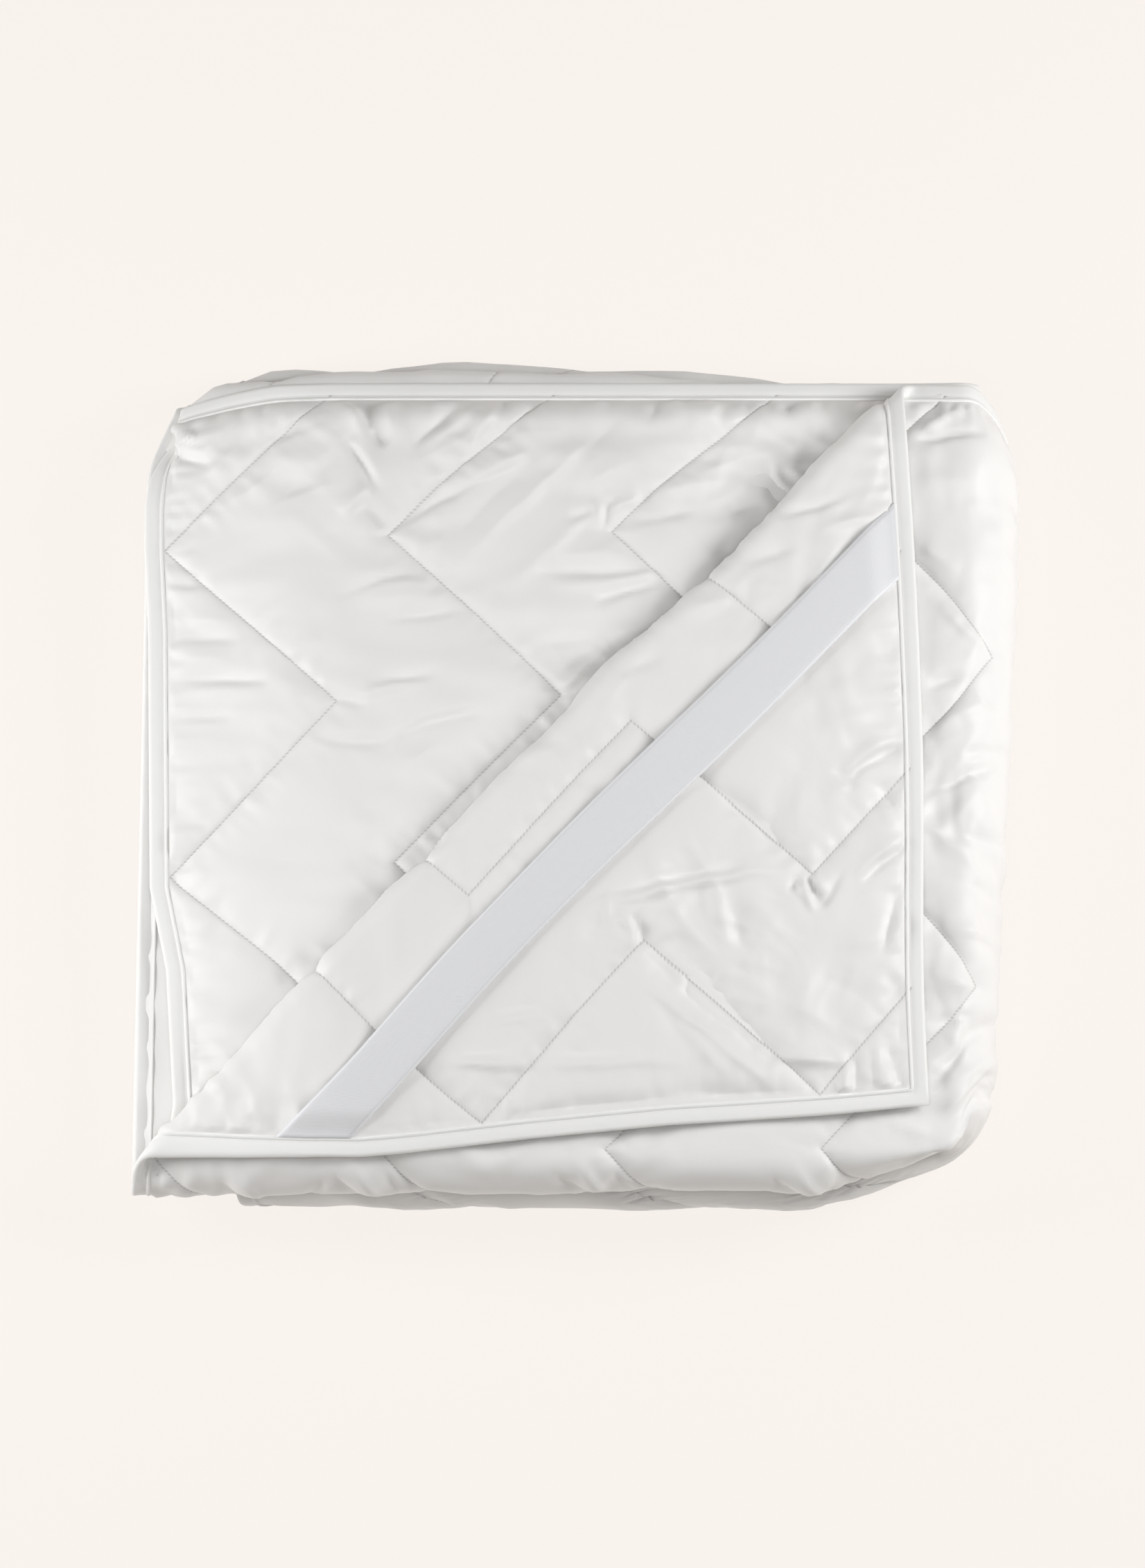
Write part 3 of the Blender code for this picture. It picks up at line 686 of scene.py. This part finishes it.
def creases(x, y, table, wander):
    """The height of a table of creases at each place, in metres. Wander, in millimetres,
    moves their lines a little to the side and back."""
    height = np.zeros(len(x))
    for x1, y1, x2, y2, bow, width, rise in table:
        dx, dy = x2 - x1, y2 - y1
        long = math.hypot(dx, dy)
        along = ((x - x1) * dx + (y - y1) * dy) / long
        t = np.clip(along / long, 0, 1)
        off = ((x - x1) * dy - (y - y1) * dx) / long + 4 * bow * t * (1 - t) + wander
        share = np.clip((along + CREASE_RUN_ON) / (long + 2 * CREASE_RUN_ON), 0, 1)
        taper = np.sin(np.pi * share) ** END_FALL
        side = np.where(off > 0, STEEP_SIDE * width, GENTLE_SIDE * width)
        height += rise * taper * np.exp(-np.abs(off / side) ** SIDE_FALL)
    return height * CREASE_HEIGHT / 1000


def crumple(u, v, slant, size, stretch, seed):
    """Sharp-edged folds over the flat pad: noise drawn out along a slant, as ridges."""
    along = u * math.cos(slant) + v * math.sin(slant)
    across = v * math.cos(slant) - u * math.sin(slant)
    folds = np.abs(flat_noise(along, across, size, seed, stretch))
    return CRUMPLE_TOP - folds * 2


def from_strap(u, v):
    """How far each place of the flat pad lies from the strap's middle line."""
    side, top = sum(STRAP_ON_SIDE) / 2, sum(STRAP_ON_TOP) / 2
    return np.abs(u / top + v / side - 1) / math.hypot(1 / top, 1 / side)


def relief(flat, bm, sleeping, sizes):
    """How far the cloth stands out or in at each point beyond its plain quilting."""
    u, v = flat[:, 0], flat[:, 1]
    places = np.array([p.co for p in bm.verts])
    x, y = places[:, 0] * 1000, places[:, 1] * 1000
    seam = from_seam(u, v)
    rim = np.maximum(from_rim(u, v), 0.0)
    near = np.exp(-seam / SEAM_REACH) * (1 - np.exp(-seam / SEAM_START))
    near_rim = np.exp(-rim / RIM_REACH)
    way = np.where(zigzag(v) < RISE, 1.0, -1.0)
    across, along = (u - way * v) / math.sqrt(2), (u * way + v) / math.sqrt(2)
    puckers = flat_noise(across, along, *SEAM_PUCKERS) * near * sizes.puckers
    at_side = np.minimum(u, PAD_WIDTH - u) < np.minimum(v, PAD_LENGTH - v)
    along_rim, from_edge = np.where(at_side, v, u), np.where(at_side, u, v)
    short = flat_noise(from_edge, along_rim, *RIM_PUCKERS)
    puckers += short * near_rim * sizes.puckers * RIM_SHARE
    drawn = sum(flat_noise(u, v, size, seed, stretch) * high for size, seed, stretch, high in WAVES)
    uneven = soft_step(*CRUMPLED, flat_noise(u, v, *CRUMPLED_AREAS))
    for slant, size, stretch, seed, high in CRUMPLES:
        drawn += crumple(u, v, slant, size, stretch, seed) * uneven * high
    amount = puckers + drawn * (1 - np.exp(-seam / WAVES_REACH))
    wander = flat_noise(u, v, *WANDER) * WANDER_FAR
    second = ~sleeping & (v > STARTS[6])
    turned = ~sleeping & (v < STARTS[2]) & (past_crease(u, v) > PAST_CREASE)
    strip = sleeping & (v < STARTS[1])
    roll = sleeping & (v > STARTS[1] - BEFORE_ROLL) & (v < STARTS[2])
    amount += np.where(second, creases(x, y, SECOND_PLY_CREASES, wander), 0.0)
    amount += np.where(turned, creases(x, y, TURNED_CORNER_CREASES, wander), 0.0)
    amount += np.where(strip, creases(x, y, RIGHT_STRIP_CREASES, wander), 0.0)
    on_roll = (u * 1000, (v - STARTS[1]) * 1000)
    rolled = creases(*on_roll, FRONT_ROLL_CREASES, wander * ROLL_WANDER)
    amount += np.where(roll, rolled * ROLL_HEIGHT, 0.0)
    back = np.exp(-((rim - BACK_PUFF_AT) / BACK_PUFF_WIDTH) ** 2) * BACK_PUFF
    amount += np.where(second & (PAD_LENGTH - v < u), back, 0.0)
    pressed = 1 - PRESSED * np.exp(-(from_strap(u, v) / PRESSED_REACH) ** 4)
    amount *= np.where(turned, pressed, 1.0)
    return np.where(from_rim(u, v) > PLAIN_RIM, amount, 0.0)


# Materials

def set_inputs(node, values):
    """Sets a node's inputs by their names."""
    for name, value in values.items():
        node.inputs[name].default_value = value


def new_material(name, colour, roughness, sheen):
    """A material to build on, with its tree and its shader."""
    material = bpy.data.materials.new(name)
    material.use_nodes = True
    tree = material.node_tree
    shader = tree.nodes["Principled BSDF"]
    set_inputs(shader, {"Base Color": (*colour, 1.0), "Roughness": roughness,
                        "Sheen Weight": sheen, "Sheen Roughness": 0.4})
    return material, tree, shader


def maths(tree, kind, first, second=None, third=None):
    """One Math node; each input is a number or another node's output."""
    node = tree.nodes.new("ShaderNodeMath")
    node.operation = kind
    for socket, value in zip(node.inputs, (first, second, third)):
        if value is None:
            continue
        if isinstance(value, (int, float)):
            socket.default_value = value
        else:
            tree.links.new(value, socket)
    return node.outputs[0]


def flat_places(tree):
    """The flat pad's u and v, in metres, from the piece's own UV map."""
    node = tree.nodes.new("ShaderNodeUVMap")
    node.uv_map = "flat_places"
    split = tree.nodes.new("ShaderNodeSeparateXYZ")
    tree.links.new(node.outputs[0], split.inputs[0])
    return node.outputs[0], split.outputs[0], split.outputs[1]


def texture(tree, kind, places, **settings):
    """One texture node over the cloth's places, with these inputs set."""
    node = tree.nodes.new(kind)
    set_inputs(node, settings)
    tree.links.new(places, node.inputs["Vector"])
    return node


def bump(tree, height, strength, distance, under=None):
    """One Bump node, laid over another one's normal if that is given."""
    node = tree.nodes.new("ShaderNodeBump")
    set_inputs(node, {"Strength": strength, "Distance": distance})
    tree.links.new(height, node.inputs["Height"])
    if under is not None:
        tree.links.new(under, node.inputs["Normal"])
    return node.outputs[0]


def tint(tree, shader, factor, plain, other):
    """Colours the cloth between two shades."""
    node = tree.nodes.new("ShaderNodeMix")
    node.data_type = "RGBA"
    node.clamp_factor = True
    set_inputs(node, {"A": (*plain, 1.0), "B": (*other, 1.0)})
    tree.links.new(factor, node.inputs["Factor"])
    tree.links.new(node.outputs["Result"], shader.inputs["Base Color"])


# A stitch's length along the pad, how much of it is the needle hole, half of the seam's line,
# how fast its groove fades for each metre, and how much darker a hole is: painted shade in it
STITCH, HOLE_SHARE, SEAM_LINE = 0.0018, 0.55, 0.00055
GROOVE_FADES, HOLE_PAINTED_SHADE = 1100.0, 0.62


def sateen(colour):
    """Quilted cotton sateen: a fine weave, and needle holes along the quilting seams, sunken in the
    bump and darkened with painted shade.
    """
    material, tree, shader = new_material("cotton_sateen", colour, 0.50, 0.15)
    places, u, v = flat_places(tree)
    step = maths(tree, "DIVIDE", maths(tree, "SUBTRACT", v, FIRST_TURN), CELL_V)
    moved = maths(tree, "PINGPONG", step, float(RISE))
    cells = maths(tree, "DIVIDE", maths(tree, "SUBTRACT", u, BODY_EDGE), CELL_U)
    off = maths(tree, "PINGPONG", maths(tree, "SUBTRACT", cells, moved), REPEAT / 2)
    distance = maths(tree, "MULTIPLY", off, CELL_V / math.sqrt(2))
    on_line = maths(tree, "LESS_THAN", distance, SEAM_LINE)
    stitch = maths(tree, "FRACT", maths(tree, "DIVIDE", v, STITCH))
    hole = maths(tree, "MULTIPLY", maths(tree, "LESS_THAN", stitch, HOLE_SHARE), on_line)

    # The weave, its slubs and the sunken needle holes
    weave = texture(tree, "ShaderNodeTexWave", places, Scale=320.0, Distortion=1.5, Detail=2.0)
    weave.wave_type = "BANDS"
    weave.bands_direction = "DIAGONAL"
    slubs = texture(tree, "ShaderNodeTexNoise", places, Scale=420.0, Detail=3.0)
    level = maths(tree, "MULTIPLY_ADD", weave.outputs["Fac"], 0.35, slubs.outputs["Fac"])
    level = maths(tree, "MULTIPLY_ADD", hole, -4.0, level)

    # The small folds, and the groove along each seam
    slant = tree.nodes.new("ShaderNodeMapping")
    set_inputs(slant, {"Rotation": (0.0, 0.0, 0.5), "Scale": (0.45, 1.0, 1.0)})
    tree.links.new(places, slant.inputs["Vector"])
    folds = texture(tree, "ShaderNodeTexNoise", slant.outputs[0],
                    Scale=52.0, Detail=3.0, Roughness=0.45, Distortion=0.6)
    folds.noise_type = "RIDGED_MULTIFRACTAL"
    folds.normalize = False
    groove = maths(tree, "POWER", 2.718, maths(tree, "MULTIPLY", distance, -GROOVE_FADES))
    coarse = maths(tree, "MULTIPLY_ADD", groove, -1.7, folds.outputs["Fac"])
    creased = bump(tree, coarse, 0.55, 0.0008)
    tree.links.new(bump(tree, level, 0.35, 0.00006, creased), shader.inputs["Normal"])
    # The needle holes are painted darker in the colour: painted shade in the holes
    darker = [c * HOLE_PAINTED_SHADE for c in colour]
    tint(tree, shader, maths(tree, "MULTIPLY", hole, 0.50), colour, darker)
    return material


def tape(colour):
    """The binding's plain cotton tape."""
    material, tree, shader = new_material("binding_tape", colour, 0.55, 0.15)
    places, _, _ = flat_places(tree)
    slubs = texture(tree, "ShaderNodeTexNoise", places, Scale=900.0)
    tree.links.new(bump(tree, slubs.outputs["Fac"], 0.3, 0.00005), shader.inputs["Normal"])
    return material


# The strap's ribs, the selvedge's distance from its middle line, and the thin darker line
# beside the selvedge: its distance and half of its width
RIB = 0.0009
SELVEDGE, BESIDE_SELVEDGE = 0.0138, (0.0133, 0.0003)


def elastic(colour):
    """Woven elastic: fine ribs across the strap, and paler selvedges."""
    material, tree, shader = new_material("woven_elastic", colour, 0.55, 0.2)
    _, along, across = flat_places(tree)
    ribs = maths(tree, "FRACT", maths(tree, "DIVIDE", along, RIB))
    ribs = maths(tree, "PINGPONG", ribs, 0.5)
    tree.links.new(bump(tree, ribs, 0.5, 0.0002), shader.inputs["Normal"])
    middle = maths(tree, "ABSOLUTE", maths(tree, "SUBTRACT", across, STRAP_WIDTH / 2))
    selvedge = maths(tree, "GREATER_THAN", middle, SELVEDGE)
    beside = maths(tree, "COMPARE", middle, *BESIDE_SELVEDGE)
    # Paler selvedges, ribs paler on their crests as a painted highlight, and a darker line beside
    # each selvedge
    shade = maths(tree, "MULTIPLY_ADD", selvedge, 0.9, maths(tree, "MULTIPLY", ribs, 0.15))
    shade = maths(tree, "MULTIPLY_ADD", beside, -0.5, shade)
    tint(tree, shader, shade, [c * 0.97 for c in colour], [min(1.0, c * 1.20) for c in colour])
    return material


# Pieces

def build_pad(sizes, colours):
    """The quilted body."""
    across = CELLS_ACROSS * CELLS_TO_QUILT
    places = rows()
    bm = slab(across + 2, len(places) - 1)
    for point in bm.verts:
        v = places[round(point.co.y)]
        point.co = (columns(v, across)[round(point.co.x)], v, point.co.z)
    bm.normal_update()
    cut_finer(bm, SHOWN_CUTS_UNDERSIDE, False)
    cut_finer(bm, SHOWN_CUTS_SLEEPING_SIDE, True)
    bm.normal_update()
    split_on_seams(bm)
    flat = np.array([(p.co.x, p.co.y) for p in bm.verts])
    side = np.array([p.co.z * 2 - 1 for p in bm.verts])
    flat_w = side * half_thickness(flat[:, 0], flat[:, 1], sizes)
    lay(bm, flat_w)
    push_out(bm, relief(flat, bm, side > 0, sizes))
    pad = make_piece("quilted_body", bm, flat, sateen(colours.cotton))
    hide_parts("quilted_pad")
    return pad


# The binding's section: how far in from the edge, as a share of its width, and half of its
# thickness in millimetres
BINDING_SECTION = [
    (0.00, 0.0), (0.03, 1.0), (0.10, 1.7), (0.20, 1.9), (0.42, 1.6), (0.66, 1.5),
    (0.76, 0.9), (0.82, 1.7), (0.90, 2.3), (0.98, 2.0), (1.00, 0.6),
]

# How closely it is cut along the edge, and its waves: size, seed, share of the thickness that
# they change and how far they lift it
BINDING_STEP = 0.0028
BINDING_WAVE, BINDING_SEED, BINDING_UNEVEN, BINDING_LIFT = 0.012, 2.2, 0.25, 0.0004


def rim_stations(step):
    """Places round the pad's edge: for each, the outer corner and the inner corner."""
    near, far_u, far_v = BINDING_WIDTH, PAD_WIDTH - BINDING_WIDTH, PAD_LENGTH - BINDING_WIDTH
    us = list(np.linspace(near, far_u, round(PAD_WIDTH / step)))[1:-1]
    vs = list(np.linspace(near, far_v, round(PAD_LENGTH / step)))[1:-1]
    found = [((0, 0), (near, near))]
    found += [((u, 0), (u, near)) for u in us]
    found += [((PAD_WIDTH, 0), (far_u, near))]
    found += [((PAD_WIDTH, v), (far_u, v)) for v in vs]
    found += [((PAD_WIDTH, PAD_LENGTH), (far_u, far_v))]
    found += [((u, PAD_LENGTH), (u, far_v)) for u in reversed(us)]
    found += [((0, PAD_LENGTH), (near, far_v))]
    found += [((0, v), (near, v)) for v in reversed(vs)]
    return np.array(found)


def build_binding(colours):
    """The binding, a folded tape round the whole edge."""
    stations = rim_stations(BINDING_STEP)
    section = [(s, h / 1000) for s, h in BINDING_SECTION]
    section += [(s, -h) for s, h in reversed(section[1:])]
    bm = bmesh.new()
    bmesh.ops.create_grid(bm, x_segments=len(stations), y_segments=len(section), size=0.5)
    for point in bm.verts:
        point.co.x = round((point.co.x + 0.5) * len(stations)) % len(stations)
        point.co.y = round((point.co.y + 0.5) * len(section)) % len(section)
    bmesh.ops.remove_doubles(bm, verts=bm.verts, dist=0.1)
    flat_w = []
    for point in bm.verts:
        outer, inner = stations[round(point.co.x)]
        share, half = section[round(point.co.y)]
        place = outer + (inner - outer) * share
        at = Vector((outer[0] / BINDING_WAVE, outer[1] / BINDING_WAVE, BINDING_SEED))
        wave = noise.noise(at)
        flat_w.append(half * (1 + BINDING_UNEVEN * wave) + BINDING_LIFT * wave)
        point.co = (place[0], place[1], half)
    bm.normal_update()
    flat = lay(bm, flat_w)
    bmesh.ops.recalc_face_normals(bm, faces=bm.faces)
    bmesh.ops.triangulate(bm, faces=bm.faces)
    binding = make_piece("bound_edge", bm, flat, tape(colours.binding))
    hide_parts("edge_binding")
    return binding


def build_strap(sizes, colours):
    """The elastic strap across the turned corner."""
    bm = slab(STRAP_PIECES, STRAP_CELLS)
    end = BINDING_WIDTH - STRAP_INSET
    long = math.dist((end, STRAP_ON_SIDE[0]), (STRAP_ON_TOP[0], end))
    flat_w, strap_places = [], []
    for point in bm.verts:
        t, s = point.co.x / STRAP_PIECES, point.co.y / STRAP_CELLS
        on_side, on_top = (a + (b - a) * s for a, b in (STRAP_ON_SIDE, STRAP_ON_TOP))
        place = Vector((end, on_side)).lerp(Vector((on_top, end)), t)
        rise = smooth(0, STRAP_RAMP, min(t, 1 - t) * long)
        over = STRAP_END_GAP + (sizes.puff + STRAP_CLEAR - STRAP_END_GAP) * rise + STRAP_HALF
        curl = STRAP_CURL * (2 * abs(s - 0.5)) ** 4 * rise
        flat_w.append(-over + curl + (STRAP_HALF if point.co.z > 0.5 else -STRAP_HALF))
        strap_places.append((t * long, s * STRAP_WIDTH))
        point.co = (place.x, place.y, point.co.z)
    lay(bm, flat_w)
    bmesh.ops.recalc_face_normals(bm, faces=bm.faces)
    bmesh.ops.triangulate(bm, faces=bm.faces)
    strap = make_piece("elastic_strap", bm, np.array(strap_places), elastic(colours.elastic))
    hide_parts("corner_strap")


# Stage: floor, lights and camera

# The camera: its elevation in degrees, its distance, the place it aims at, how much of the
# width there it takes in, and its sensor in millimetres
CAMERA_ELEVATION, CAMERA_FAR = 76.5, 8.0
CAMERA_AIM = (-0.00175, -0.0102, 0.070)
SEEN_WIDTH, SENSOR = 0.6378, 36.0

# The lamps: name, place, width, height and watts, and the place that they are aimed at
LAMPS = [
    ("left_softbox", (-0.95, -0.05, 0.50), 0.4, 0.8, 6.6),
    ("right_softbox", (1.02, 0.10, 0.84), 0.4, 0.7, 10.0),
    ("overhead", (0.0, -0.60, 2.1), 0.6, 0.5, 7.0),
]
LAMPS_AIM = (0, 0, 0.05)


def build_stage(colours):
    """A pale floor, soft lights from both sides and from above in front, and the camera over
    the packet."""
    bm = bmesh.new()
    bmesh.ops.create_grid(bm, x_segments=1, y_segments=1, size=6.0)
    mesh = bpy.data.meshes.new("floor")
    bm.to_mesh(mesh)
    bm.free()
    floor = add_object("floor", mesh)
    floor.location.z = -0.0005
    darker = [c * 0.10 for c in colours.floor]
    material, _, shader = new_material("pale_floor", darker, 1.0, 0.0)
    set_inputs(shader, {"Specular IOR Level": 0.0, "Emission Color": (*colours.floor, 1.0),
                        "Emission Strength": 0.92})
    mesh.materials.append(material)

    world = bpy.data.worlds.new("soft_room")
    bpy.context.scene.world = world
    world.use_nodes = True
    sky = world.node_tree.nodes["Background"]
    set_inputs(sky, {"Color": (1.0, 0.97, 0.93, 1.0), "Strength": 0.17})

    for name, place, width, height, watts in LAMPS:
        light = bpy.data.lights.new(name, "AREA")
        light.shape = "RECTANGLE"
        light.size, light.size_y, light.energy = width, height, watts
        lamp = add_object(name, light)
        lamp.location = place
        way = Vector(LAMPS_AIM) - Vector(place)
        lamp.rotation_euler = way.to_track_quat("-Z", "Y").to_euler()

    lens = bpy.data.cameras.new("camera")
    lens.sensor_fit = "HORIZONTAL"
    lens.sensor_width = SENSOR
    lens.lens = SENSOR * CAMERA_FAR / SEEN_WIDTH
    camera = add_object("camera", lens)
    elevation = math.radians(CAMERA_ELEVATION)
    back = Vector((0, -math.cos(elevation), math.sin(elevation)))
    camera.location = Vector(CAMERA_AIM) + back * CAMERA_FAR
    camera.rotation_euler = (-back).to_track_quat("-Z", "Y").to_euler()
    bpy.context.scene.camera = camera
    view = bpy.context.scene.view_settings
    view.view_transform = "Standard"
    view.look = "None"


# The add-on

class PadSizes(bpy.types.PropertyGroup):
    """Sizes of the quilting."""

    puff: FloatProperty(
        name="Puff", description="Half of the pad's thickness between the seams",
        default=0.0046, min=0.001, max=0.0052, unit="LENGTH")
    seam: FloatProperty(
        name="Seam", description="Half of the pad's thickness at a seam",
        default=0.0013, min=0.0005, max=0.003, unit="LENGTH")
    seam_reach: FloatProperty(
        name="Seam reach", description="How far from a seam the filling is drawn down",
        default=0.0065, min=0.002, max=0.02, unit="LENGTH")
    puckers: FloatProperty(
        name="Puckers", description="How deep the cloth puckers beside seams and bindings",
        default=0.0022, min=0.0, max=0.004, unit="LENGTH")


class PadColours(bpy.types.PropertyGroup):
    """Colours of the cloth and the floor."""

    cotton: FloatVectorProperty(
        name="Cotton", description="The quilted sateen", default=(0.865, 0.86, 0.85),
        size=3, min=0, max=1, subtype="COLOR")
    binding: FloatVectorProperty(
        name="Binding", description="The tape round the edge", default=(0.88, 0.88, 0.87),
        size=3, min=0, max=1, subtype="COLOR")
    elastic: FloatVectorProperty(
        name="Elastic", description="The corner strap", default=(0.80, 0.808, 0.83),
        size=3, min=0, max=1, subtype="COLOR")
    floor: FloatVectorProperty(
        name="Floor", description="The plain floor", default=(0.947, 0.896, 0.855),
        size=3, min=0, max=1, subtype="COLOR")


class PAD_OT_pad(bpy.types.Operator):
    """Builds the quilted body and its binding, folded into the packet"""

    bl_idname = "mattress_pad.pad"
    bl_label = "Quilted pad and binding"

    def execute(self, context):
        sizes, colours = context.scene.pad_sizes, context.scene.pad_colours
        pad = build_pad(sizes, colours)
        binding = build_binding(colours)
        return {"FINISHED"}


class PAD_OT_strap(bpy.types.Operator):
    """Builds the elastic strap across the turned corner"""

    bl_idname = "mattress_pad.strap"
    bl_label = "Corner strap"

    def execute(self, context):
        build_strap(context.scene.pad_sizes, context.scene.pad_colours)
        return {"FINISHED"}


class PAD_OT_stage(bpy.types.Operator):
    """Sets out the floor, the lights and the camera"""

    bl_idname = "mattress_pad.stage"
    bl_label = "Stage"

    def execute(self, context):
        build_stage(context.scene.pad_colours)
        return {"FINISHED"}


class PAD_PT_panel(bpy.types.Panel):
    """Lists the pad's pieces and sizes"""

    bl_label = "Mattress pad"
    bl_idname = "PAD_PT_panel"
    bl_space_type = "VIEW_3D"
    bl_region_type = "UI"
    bl_category = "Mattress pad"

    def draw(self, context):
        layout = self.layout
        for name in ("puff", "seam", "seam_reach", "puckers"):
            layout.prop(context.scene.pad_sizes, name)
        for name in ("cotton", "binding", "elastic", "floor"):
            layout.prop(context.scene.pad_colours, name)
        for operator in (PAD_OT_pad, PAD_OT_strap, PAD_OT_stage):
            layout.operator(operator.bl_idname)


CLASSES = (PadSizes, PadColours, PAD_OT_pad, PAD_OT_strap, PAD_OT_stage, PAD_PT_panel)


def register():
    """Adds the classes and the scene's settings."""
    for kind in CLASSES:
        bpy.utils.register_class(kind)
    bpy.types.Scene.pad_sizes = PointerProperty(type=PadSizes)
    bpy.types.Scene.pad_colours = PointerProperty(type=PadColours)


def unregister():
    """Takes them away again."""
    del bpy.types.Scene.pad_colours
    del bpy.types.Scene.pad_sizes
    for kind in reversed(CLASSES):
        bpy.utils.unregister_class(kind)


def main():
    """Builds everything."""
    register()
    bpy.ops.mattress_pad.pad()
    bpy.ops.mattress_pad.strap()
    bpy.ops.mattress_pad.stage()


if __name__ == "__main__":
    main()
